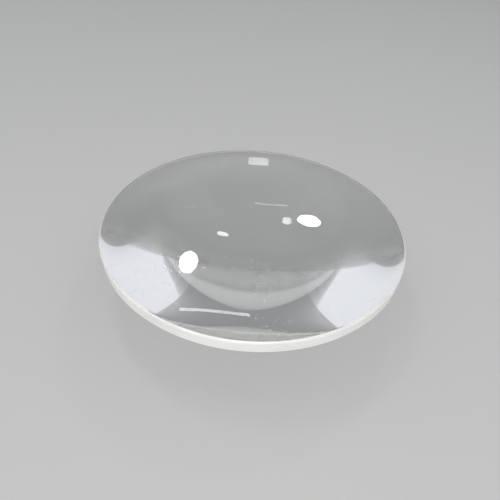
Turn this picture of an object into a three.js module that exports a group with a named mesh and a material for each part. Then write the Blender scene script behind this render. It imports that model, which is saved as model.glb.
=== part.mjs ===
// A thick biconvex glass lens with a ground edge. Millimetres, +Z up.
// It lies on its stronger surface. The optical axis is the Z axis, and the origin is the middle of
// the small flat that the lens stands on.
import * as THREE from "three";

// Driving dimensions
const DIAMETER = 75;
const LOWER_CURVATURE = 70.5; // radius of the stronger polished surface, which faces down
const UPPER_CURVATURE = 170; // radius of the weaker polished surface, which faces up
const EDGE_THICKNESS = 2.9; // between the two surfaces, measured at the full diameter
const BEVEL = 0.35; // leg of the 45 degree bevel at each corner of the ground edge
const REST_FLAT_RADIUS = 2.5; // facet at the lowest point of the lower surface

// Facets of the solid
const SEGMENTS_AROUND = 96;
const LOWER_STEPS = 14;
const UPPER_STEPS = 8;

const EDGE_RADIUS = DIAMETER / 2;
const POLISHED_RADIUS = EDGE_RADIUS - BEVEL;

// Depth of a spherical surface at a distance from the axis, below a plane through its vertex.
function sag(curvature, distance) {
  return curvature - Math.sqrt(curvature ** 2 - distance ** 2);
}

// Distances from the axis that cut an arc from one distance to another into equal angles.
function arcDistances(curvature, from, to, steps) {
  const first = Math.asin(from / curvature);
  const last = Math.asin(to / curvature);
  const angleAt = (step) => first + ((last - first) * step) / steps;
  return Array.from({ length: steps + 1 }, (_, step) => curvature * Math.sin(angleAt(step)));
}

// Half of the lens's section, from the lowest point on the axis round the edge to the highest.
function lensProfile() {
  const lowerVertex = -sag(LOWER_CURVATURE, REST_FLAT_RADIUS);
  const lowerHeight = (distance) => lowerVertex + sag(LOWER_CURVATURE, distance);
  const upperVertex = lowerHeight(EDGE_RADIUS) + EDGE_THICKNESS + sag(UPPER_CURVATURE, EDGE_RADIUS);
  const upperHeight = (distance) => upperVertex - sag(UPPER_CURVATURE, distance);

  const lowerArc = arcDistances(LOWER_CURVATURE, REST_FLAT_RADIUS, POLISHED_RADIUS, LOWER_STEPS);
  const upperArc = arcDistances(UPPER_CURVATURE, POLISHED_RADIUS, 0, UPPER_STEPS);
  return [
    new THREE.Vector2(0, 0),
    ...lowerArc.map((distance) => new THREE.Vector2(distance, lowerHeight(distance))),
    new THREE.Vector2(EDGE_RADIUS, lowerHeight(POLISHED_RADIUS) + BEVEL),
    new THREE.Vector2(EDGE_RADIUS, upperHeight(POLISHED_RADIUS) - BEVEL),
    ...upperArc.map((distance) => new THREE.Vector2(distance, upperHeight(distance))),
  ];
}

// LatheGeometry turns its profile about Y, so the solid is tipped up onto Z.
function makeLens() {
  const geometry = new THREE.LatheGeometry(lensProfile(), SEGMENTS_AROUND);
  geometry.rotateX(Math.PI / 2);
  const glass = new THREE.MeshStandardMaterial({ color: 0xe6ecee, roughness: 0.04, metalness: 0 });
  const lens = new THREE.Mesh(geometry, glass);
  lens.name = "lens";
  return lens;
}

const part = new THREE.Group();
part.add(makeLens());

export default part;
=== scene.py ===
# A thick biconvex lens of clear glass, lying on its stronger face. Metres, +Z up.
# The optical axis is the Z axis, and the lens stands on the origin.
import math

import bmesh
import bpy
from mathutils import Matrix, Vector


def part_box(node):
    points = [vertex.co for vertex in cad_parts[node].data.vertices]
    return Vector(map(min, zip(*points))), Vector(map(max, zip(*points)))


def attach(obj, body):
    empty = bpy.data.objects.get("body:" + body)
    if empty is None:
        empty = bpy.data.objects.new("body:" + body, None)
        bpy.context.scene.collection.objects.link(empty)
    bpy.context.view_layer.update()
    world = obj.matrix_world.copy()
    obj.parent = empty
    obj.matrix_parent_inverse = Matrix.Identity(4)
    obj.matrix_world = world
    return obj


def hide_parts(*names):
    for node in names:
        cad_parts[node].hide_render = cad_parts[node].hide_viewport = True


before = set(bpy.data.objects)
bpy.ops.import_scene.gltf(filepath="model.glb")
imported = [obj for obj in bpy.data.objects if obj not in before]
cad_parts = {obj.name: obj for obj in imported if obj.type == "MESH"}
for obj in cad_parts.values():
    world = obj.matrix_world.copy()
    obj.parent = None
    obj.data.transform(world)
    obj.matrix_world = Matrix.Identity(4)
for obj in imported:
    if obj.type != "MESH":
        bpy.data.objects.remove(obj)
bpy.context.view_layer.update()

# Size of the lens, from the frame
LENS_LOW, LENS_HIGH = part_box("lens")
RIM_RADIUS = (LENS_HIGH.x - LENS_LOW.x) / 2
LOWER_VERTEX = LENS_LOW.z
UPPER_VERTEX = LENS_HIGH.z

# The ground edge is a cylinder between two 45 degree bevels. The widest corners of the frame's lens
# give its heights.
NEAR = 1e-5
EDGE_HEIGHTS = [
    vertex.co.z
    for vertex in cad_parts["lens"].data.vertices
    if vertex.co.xy.length > RIM_RADIUS - NEAR
]
EDGE_LOW = min(EDGE_HEIGHTS)
EDGE_HIGH = max(EDGE_HEIGHTS)
BEVEL = 0.00035
FACE_RADIUS = RIM_RADIUS - BEVEL
LOWER_RIM = EDGE_LOW - BEVEL
UPPER_RIM = EDGE_HIGH + BEVEL

# Fineness of the mesh. The two faces are arcs cut from whole circles with these steps.
STEPS_AROUND = 288
LOWER_CIRCLE_STEPS = 720
UPPER_CIRCLE_STEPS = 1440
PAST_VERTEX = 0.001
CUT = 1e-7
WELD = 1e-6

# Finishes. A speck's size is a share of its cell, and colours are linear with alpha.
GLASS_INDEX = 1.517
FACE_TINT = (0.995, 1.0, 0.998, 1)
FILM_TINT = (0.96, 0.972, 0.975, 1)
FACE_DUST = (0.8, 0.8, 0.79, 1)
EDGE_DUST = (0.72, 0.71, 0.68, 1)
FILM_ROUGHNESS = 0.09
DUST_ROUGHNESS = 0.7
DUST_DEPTH = 0.00004
DUST_STRENGTH = 0.45
SPECK_SIZES = (0.1, 0.42)
MARK_FINENESS = 1.3
GRIT_STRENGTH = 0.5

# Camera
CAMERA_DISTANCE = 3.0 * RIM_RADIUS
CAMERA_ELEVATION = math.radians(42.46)
CAMERA_ROLL = math.radians(-4.323)
CAMERA_CLIP = (0.005, 10)
SENSOR = 36.0
FOCAL_LENGTH = 29.4192
SHIFT = (-0.0024, 0.0214)

# Studio
FLOOR_RADIUS = 2.5
FLOOR_STEPS = 128
FLOOR_GAP = 0.00001
FLOOR_COLOUR = (0.5, 0.5, 0.49, 1)
HORIZON = (0.25, 0.252, 0.258, 1)
OVERHEAD = (0.47, 0.475, 0.49, 1)
OVERHEAD_FROM = 0.6
WHITE = (1, 1, 1)
COOL = (0.92, 0.955, 1)

# Lights, which all face the lens. Angles are degrees, azimuth 0 is the camera's side, and 90 is +X.
# Name, shape, azimuth, elevation, distance, width, height, radiance, roll and colour.
LIGHTS = (
    ("front_softbox", "RECTANGLE", 0, 44, 0.7, 0.18, 0.3, 18.5, 0, WHITE),
    ("right_softbox", "RECTANGLE", 113, 40, 0.7, 0.6, 0.55, 0.36, 0, COOL),
    ("left_softbox", "RECTANGLE", -113, 40, 0.7, 0.6, 0.55, 0.36, 0, COOL),
    ("back_lamp", "ELLIPSE", 163, 36.8, 1.0, 0.1, 0.08, 16.0, 15, WHITE),
    ("side_lamp", "ELLIPSE", -152, 53.5, 1.0, 0.085, 0.13, 16.0, -25, WHITE),
    ("strip_lamp", "RECTANGLE", -153, 71, 1.0, 0.33, 0.015, 8.0, -30, WHITE),
)


# ---------------------------------------------------------------- modelling


def start_on(piece):
    """Makes one piece the only selected and active object."""
    bpy.ops.object.select_all(action="DESELECT")
    piece.select_set(True)
    bpy.context.view_layer.objects.active = piece


def edit_only(piece, kind, wanted):
    """Goes into edit mode with only the vertices, edges or faces that pass the test selected."""
    start_on(piece)
    bpy.ops.object.mode_set(mode="EDIT")
    bpy.ops.mesh.select_mode(type=kind)
    bpy.ops.mesh.select_all(action="DESELECT")
    mesh = bmesh.from_edit_mesh(piece.data)
    for element in {"VERT": mesh.verts, "EDGE": mesh.edges, "FACE": mesh.faces}[kind]:
        element.select_set(wanted(element))
    mesh.select_flush_mode()
    bmesh.update_edit_mesh(piece.data)


def stop_editing():
    bpy.ops.object.mode_set(mode="OBJECT")


def reach(place):
    """Distance from the optical axis."""
    return math.hypot(place.x, place.y)


def sphere_radius(rim_radius, depth):
    """Radius of the sphere whose cap has this rim and this depth."""
    return (rim_radius**2 + depth**2) / (2 * depth)


def face_arc(name, radius, centre_height, steps, low, high):
    """Half section of one polished face: an upright circle, cut down to the arc between two heights."""
    bpy.ops.object.select_all(action="DESELECT")
    bpy.ops.mesh.primitive_circle_add(
        vertices=steps,
        radius=radius,
        location=(0, 0, centre_height),
        rotation=(math.pi / 2, 0, 0),
    )
    arc = bpy.context.object
    arc.name = name
    bpy.ops.object.transform_apply(location=True, rotation=True, scale=True)
    bpy.ops.object.mode_set(mode="EDIT")
    for place, kept_side in (
        ((0, 0, 0), (1, 0, 0)),
        ((0, 0, low), (0, 0, 1)),
        ((0, 0, high), (0, 0, -1)),
    ):
        bpy.ops.mesh.select_all(action="SELECT")
        bpy.ops.mesh.bisect(plane_co=place, plane_no=kept_side, clear_inner=True, threshold=CUT)
    stop_editing()
    return arc


def lens_section():
    """The two polished faces in half section, as one object."""
    lower_radius = sphere_radius(FACE_RADIUS, LOWER_RIM - LOWER_VERTEX)
    upper_radius = sphere_radius(FACE_RADIUS, UPPER_VERTEX - UPPER_RIM)
    lower = face_arc(
        "glass_lens",
        lower_radius,
        LOWER_VERTEX + lower_radius,
        LOWER_CIRCLE_STEPS,
        LOWER_VERTEX - PAST_VERTEX,
        LOWER_RIM,
    )
    upper = face_arc(
        "upper_face",
        upper_radius,
        UPPER_VERTEX - upper_radius,
        UPPER_CIRCLE_STEPS,
        UPPER_RIM,
        UPPER_VERTEX + PAST_VERTEX,
    )
    start_on(lower)
    upper.select_set(True)
    bpy.ops.object.join()
    return lower


def draw_edge(section):
    """Draws the lower bevel, the edge and the upper bevel on from the end of the lower face."""
    edit_only(section, "VERT", lambda v: abs(v.co.z - LOWER_RIM) < NEAR)
    for step in ((BEVEL, 0, BEVEL), (0, 0, EDGE_HIGH - EDGE_LOW), (-BEVEL, 0, BEVEL)):
        bpy.ops.mesh.extrude_region_move(TRANSFORM_OT_translate={"value": step})
    bpy.ops.mesh.select_all(action="SELECT")
    bpy.ops.mesh.remove_doubles(threshold=NEAR)
    stop_editing()


def turn_section(section):
    """Spins the section round the optical axis, and closes the seam and both vertices."""
    edit_only(section, "VERT", lambda v: True)
    bpy.ops.mesh.spin(
        steps=STEPS_AROUND, angle=2 * math.pi, center=(0, 0, 0), axis=(0, 0, 1)
    )
    bpy.ops.mesh.select_all(action="SELECT")
    bpy.ops.mesh.remove_doubles(threshold=WELD)
    bpy.ops.mesh.normals_make_consistent(inside=False)
    stop_editing()


def on_corner(edge):
    """True on the four circles where a polished face, a bevel and the edge meet."""
    heights = (LOWER_RIM, EDGE_LOW, EDGE_HIGH, UPPER_RIM)
    ends = [vertex.co for vertex in edge.verts]
    level = abs(ends[0].z - ends[1].z) < WELD
    outside = all(reach(end) > FACE_RADIUS - NEAR for end in ends)
    return level and outside and any(abs(ends[0].z - height) < NEAR for height in heights)


def outer(face):
    """True outside the polished faces."""
    return reach(face.calc_center_median()) > FACE_RADIUS


def on_edge(face):
    return EDGE_LOW < face.calc_center_median().z < EDGE_HIGH and outer(face)


def on_bevel(face):
    height = face.calc_center_median().z
    between = LOWER_RIM < height < EDGE_LOW or EDGE_HIGH < height < UPPER_RIM
    return between and outer(face)


def give_material(piece, slot, wanted):
    edit_only(piece, "FACE", wanted)
    piece.active_material_index = slot
    bpy.ops.object.material_slot_assign()
    stop_editing()


def make_lens():
    lens = lens_section()
    draw_edge(lens)
    turn_section(lens)
    bpy.ops.object.shade_smooth()
    edit_only(lens, "EDGE", on_corner)
    bpy.ops.mesh.mark_sharp()
    stop_editing()
    for material in (polished_glass(), ground_edge(), ground_bevel()):
        lens.data.materials.append(material)
    give_material(lens, 1, on_edge)
    give_material(lens, 2, on_bevel)
    return lens


# ---------------------------------------------------------------- node helpers


def new_group(name, inputs, outputs):
    """An empty shader node group. Inputs are (name, socket type, default), outputs (name, type)."""
    group = bpy.data.node_groups.new(name, "ShaderNodeTree")
    for label, kind, value in inputs:
        socket = group.interface.new_socket(name=label, in_out="INPUT", socket_type=kind)
        if value is not None:
            socket.default_value = value
    for label, kind in outputs:
        group.interface.new_socket(name=label, in_out="OUTPUT", socket_type=kind)
    start = group.nodes.new("NodeGroupInput")
    end = group.nodes.new("NodeGroupOutput")
    return group, start, end


def feed(tree, socket, value):
    """Links an output, or sets a plain value."""
    if isinstance(value, bpy.types.NodeSocket):
        tree.links.new(value, socket)
    else:
        socket.default_value = value


def calculate(tree, operation, first, second):
    node = tree.nodes.new("ShaderNodeMath")
    node.operation = operation
    feed(tree, node.inputs[0], first)
    feed(tree, node.inputs[1], second)
    return node.outputs["Value"]


def noise(tree, place, scale, detail=2.0, roughness=0.5, distortion=0.0):
    node = tree.nodes.new("ShaderNodeTexNoise")
    feed(tree, node.inputs["Vector"], place)
    feed(tree, node.inputs["Scale"], scale)
    node.inputs["Detail"].default_value = detail
    node.inputs["Roughness"].default_value = roughness
    node.inputs["Distortion"].default_value = distortion
    return node.outputs["Fac"]


def remap(tree, value, low, high, to_low=0.0, to_high=1.0):
    """Maps low to high smoothly onto the new range, and holds it there outside."""
    node = tree.nodes.new("ShaderNodeMapRange")
    node.interpolation_type = "SMOOTHSTEP"
    feed(tree, node.inputs["Value"], value)
    feed(tree, node.inputs["From Min"], low)
    feed(tree, node.inputs["From Max"], high)
    feed(tree, node.inputs["To Min"], to_low)
    feed(tree, node.inputs["To Max"], to_high)
    return node.outputs["Result"]


def stretched(tree, place, scale):
    node = tree.nodes.new("ShaderNodeMapping")
    node.inputs["Scale"].default_value = scale
    feed(tree, node.inputs["Vector"], place)
    return node.outputs["Vector"]


def blend_colour(tree, factor, first, second):
    node = tree.nodes.new("ShaderNodeMix")
    node.data_type = "RGBA"
    feed(tree, node.inputs["Factor"], factor)
    feed(tree, node.inputs["A"], first)
    feed(tree, node.inputs["B"], second)
    return node.outputs["Result"]


def place_group(tree, group, **values):
    node = tree.nodes.new("ShaderNodeGroup")
    node.node_tree = group
    for label, value in values.items():
        feed(tree, node.inputs[label], value)
    return node.outputs


def raised(tree, height, strength, depth):
    """Normals of a surface that this height lifts by up to the depth."""
    bump = tree.nodes.new("ShaderNodeBump")
    bump.inputs["Strength"].default_value = strength
    bump.inputs["Distance"].default_value = depth
    feed(tree, bump.inputs["Height"], height)
    return bump.outputs["Normal"]


def new_material(name):
    material = bpy.data.materials.new(name)
    material.use_nodes = True
    tree = material.node_tree
    place = tree.nodes.new("ShaderNodeTexCoord").outputs["Object"]
    return material, tree, tree.nodes["Principled BSDF"], place


# ---------------------------------------------------------------- finishes


def settled_dust():
    """Scattered specks, thicker in some places than in others."""
    group, start, end = new_group(
        "settled_dust",
        (
            ("Vector", "NodeSocketVector", None),
            ("Specks", "NodeSocketFloat", 600.0),
            ("Cover", "NodeSocketFloat", 0.5),
        ),
        (("Dust", "NodeSocketFloat"),),
    )
    place = start.outputs["Vector"]
    cells = group.nodes.new("ShaderNodeTexVoronoi")
    feed(group, cells.inputs["Vector"], place)
    feed(group, cells.inputs["Scale"], start.outputs["Specks"])
    random = group.nodes.new("ShaderNodeSeparateColor")
    feed(group, random.inputs["Color"], cells.outputs["Color"])
    cloud = noise(group, place, scale=90.0, detail=3.0, roughness=0.6)
    patches = remap(group, cloud, low=0.55, high=0.71)
    kept = calculate(group, "MULTIPLY", patches, start.outputs["Cover"])
    present = calculate(group, "LESS_THAN", random.outputs["Red"], kept)
    size = remap(group, random.outputs["Green"], 0.0, 1.0, *SPECK_SIZES)
    speck = remap(group, cells.outputs["Distance"], low=0.0, high=size, to_low=1.0, to_high=0.0)
    feed(group, end.inputs["Dust"], calculate(group, "MULTIPLY", present, speck))
    return group


def wiped_film():
    """A faint film left by wiping, in broad arcs broken up by fine streaks."""
    group, start, end = new_group(
        "wiped_film",
        (
            ("Vector", "NodeSocketVector", None),
            ("Patches", "NodeSocketFloat", 45.0),
            ("Streaks", "NodeSocketFloat", 900.0),
        ),
        (("Film", "NodeSocketFloat"),),
    )
    place = start.outputs["Vector"]
    cloud = noise(group, place, start.outputs["Patches"], distortion=0.8)
    patches = remap(group, cloud, low=0.52, high=0.78)
    along = stretched(group, place, (1.0, 0.12, 0.3))
    lines = noise(group, along, start.outputs["Streaks"])
    streaks = remap(group, lines, low=0.35, high=0.7, to_low=0.35, to_high=1.0)
    feed(group, end.inputs["Film"], calculate(group, "MULTIPLY", patches, streaks))
    return group


def grinding():
    """Fine pits from loose grit, with faint marks that run round the axis."""
    group, start, end = new_group(
        "grinding",
        (
            ("Vector", "NodeSocketVector", None),
            ("Grit", "NodeSocketFloat", 5000.0),
            ("Turning", "NodeSocketFloat", 0.4),
        ),
        (("Grain", "NodeSocketFloat"), ("Height", "NodeSocketFloat")),
    )
    place = start.outputs["Vector"]
    pits = noise(group, place, start.outputs["Grit"], detail=3.0, roughness=0.65)
    around = stretched(group, place, (0.06, 0.06, 1.0))
    marks = noise(group, around, calculate(group, "MULTIPLY", start.outputs["Grit"], MARK_FINENESS))
    broad = noise(group, place, scale=120.0, detail=3.0, roughness=0.6)
    marked = calculate(group, "MULTIPLY", marks, start.outputs["Turning"])
    height = calculate(group, "ADD", pits, marked)
    feed(group, end.inputs["Height"], height)
    grain = calculate(group, "ADD", height, broad)
    feed(group, end.inputs["Grain"], remap(group, grain, low=0.9, high=1.6))
    return group


DUST = settled_dust()
FILM = wiped_film()
GRINDING = grinding()


def polished_glass():
    """Clear glass, a little rougher under the wiped film and rough on the dust."""
    material, tree, shader, place = new_material("polished_glass")
    dust = place_group(tree, DUST, Vector=place, Specks=2200.0, Cover=0.85)["Dust"]
    film = place_group(tree, FILM, Vector=place, Patches=42.0, Streaks=800.0)["Film"]
    hazed = calculate(tree, "MULTIPLY", film, FILM_ROUGHNESS)
    dusty = calculate(tree, "MULTIPLY", dust, DUST_ROUGHNESS)
    feed(tree, shader.inputs["Roughness"], calculate(tree, "MAXIMUM", hazed, dusty))
    tint = blend_colour(tree, film, FACE_TINT, FILM_TINT)
    feed(tree, shader.inputs["Base Color"], blend_colour(tree, dust, tint, FACE_DUST))
    feed(tree, shader.inputs["Normal"], raised(tree, dust, DUST_STRENGTH, DUST_DEPTH))
    shader.inputs["IOR"].default_value = GLASS_INDEX
    shader.inputs["Transmission Weight"].default_value = 1.0
    return material


def ground_material(name, grit, turning, colours, roughness, transmission, depth):
    """White ground glass. Colours and roughness are each given for the deepest and the highest grain."""
    material, tree, shader, place = new_material(name)
    marks = place_group(tree, GRINDING, Vector=place, Grit=grit, Turning=turning)
    dust = place_group(tree, DUST, Vector=place, Specks=900.0, Cover=0.4)["Dust"]
    ground = blend_colour(tree, marks["Grain"], *colours)
    feed(tree, shader.inputs["Base Color"], blend_colour(tree, dust, ground, EDGE_DUST))
    feed(tree, shader.inputs["Roughness"], remap(tree, marks["Grain"], 0.0, 1.0, *roughness))
    feed(tree, shader.inputs["Normal"], raised(tree, marks["Height"], GRIT_STRENGTH, depth))
    shader.inputs["IOR"].default_value = GLASS_INDEX
    shader.inputs["Transmission Weight"].default_value = transmission
    return material


def ground_edge():
    return ground_material(
        "ground_edge",
        grit=2800.0,
        turning=0.7,
        colours=((0.9, 0.91, 0.85, 1), (0.995, 1.0, 0.955, 1)),
        roughness=(0.5, 0.75),
        transmission=0.18,
        depth=0.00003,
    )


def ground_bevel():
    return ground_material(
        "ground_bevel",
        grit=4200.0,
        turning=0.3,
        colours=((0.93, 0.93, 0.9, 1), (0.99, 0.99, 0.97, 1)),
        roughness=(0.4, 0.6),
        transmission=0.3,
        depth=0.00002,
    )


# ---------------------------------------------------------------- studio


def lay_floor():
    bpy.ops.object.select_all(action="DESELECT")
    bpy.ops.mesh.primitive_circle_add(
        vertices=FLOOR_STEPS, radius=FLOOR_RADIUS, fill_type="NGON", location=(0, 0, -FLOOR_GAP)
    )
    floor = bpy.context.object
    floor.name = "floor"
    material = bpy.data.materials.new("pale_floor")
    material.use_nodes = True
    shader = material.node_tree.nodes["Principled BSDF"]
    shader.inputs["Base Color"].default_value = FLOOR_COLOUR
    shader.inputs["Roughness"].default_value = 0.65
    shader.inputs["Specular IOR Level"].default_value = 0.25
    floor.data.materials.append(material)


def toward(azimuth, elevation, distance):
    """The place at these angles and this distance from the origin."""
    turn = math.radians(azimuth)
    rise = math.radians(elevation)
    level = math.cos(rise)
    return Vector((math.sin(turn) * level, -math.cos(turn) * level, math.sin(rise))) * distance


def stand_facing(thing, place, roll):
    """Puts a light or camera at a place, facing the origin and rolled about its own line of sight."""
    stand = (-place).to_track_quat("-Z", "Y").to_matrix().to_4x4()
    stand = stand @ Matrix.Rotation(roll, 4, "Z")
    stand.translation = place
    thing.matrix_world = stand
    bpy.context.scene.collection.objects.link(thing)


def hang_lights():
    for name, shape, azimuth, elevation, distance, width, height, radiance, roll, colour in LIGHTS:
        light = bpy.data.lights.new(name, "AREA")
        light.shape = shape
        light.color = colour
        light.size = width
        light.size_y = height
        light.energy = radiance * math.pi * width * height
        holder = bpy.data.objects.new(name, light)
        stand_facing(holder, toward(azimuth, elevation, distance), math.radians(roll))


def light_surroundings():
    """A plain grey room, palest overhead."""
    world = bpy.data.worlds.new("studio")
    bpy.context.scene.world = world
    world.use_nodes = True
    tree = world.node_tree
    direction = tree.nodes.new("ShaderNodeSeparateXYZ")
    feed(tree, direction.inputs["Vector"], tree.nodes.new("ShaderNodeTexCoord").outputs["Generated"])
    rise = remap(tree, direction.outputs["Z"], 0.0, OVERHEAD_FROM)
    feed(tree, tree.nodes["Background"].inputs["Color"], blend_colour(tree, rise, HORIZON, OVERHEAD))


def add_camera():
    data = bpy.data.cameras.new("camera")
    camera = bpy.data.objects.new("camera", data)
    back = Vector((0, -math.cos(CAMERA_ELEVATION), math.sin(CAMERA_ELEVATION)))
    stand_facing(camera, back * CAMERA_DISTANCE, -CAMERA_ROLL)
    data.sensor_width = SENSOR
    data.lens = FOCAL_LENGTH
    data.shift_x, data.shift_y = SHIFT
    data.clip_start, data.clip_end = CAMERA_CLIP
    bpy.context.scene.camera = camera


add_camera()
hang_lights()
light_surroundings()
lay_floor()
bpy.context.scene.view_settings.view_transform = "Standard"

glass_lens = make_lens()
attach(glass_lens, "root")
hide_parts("lens")
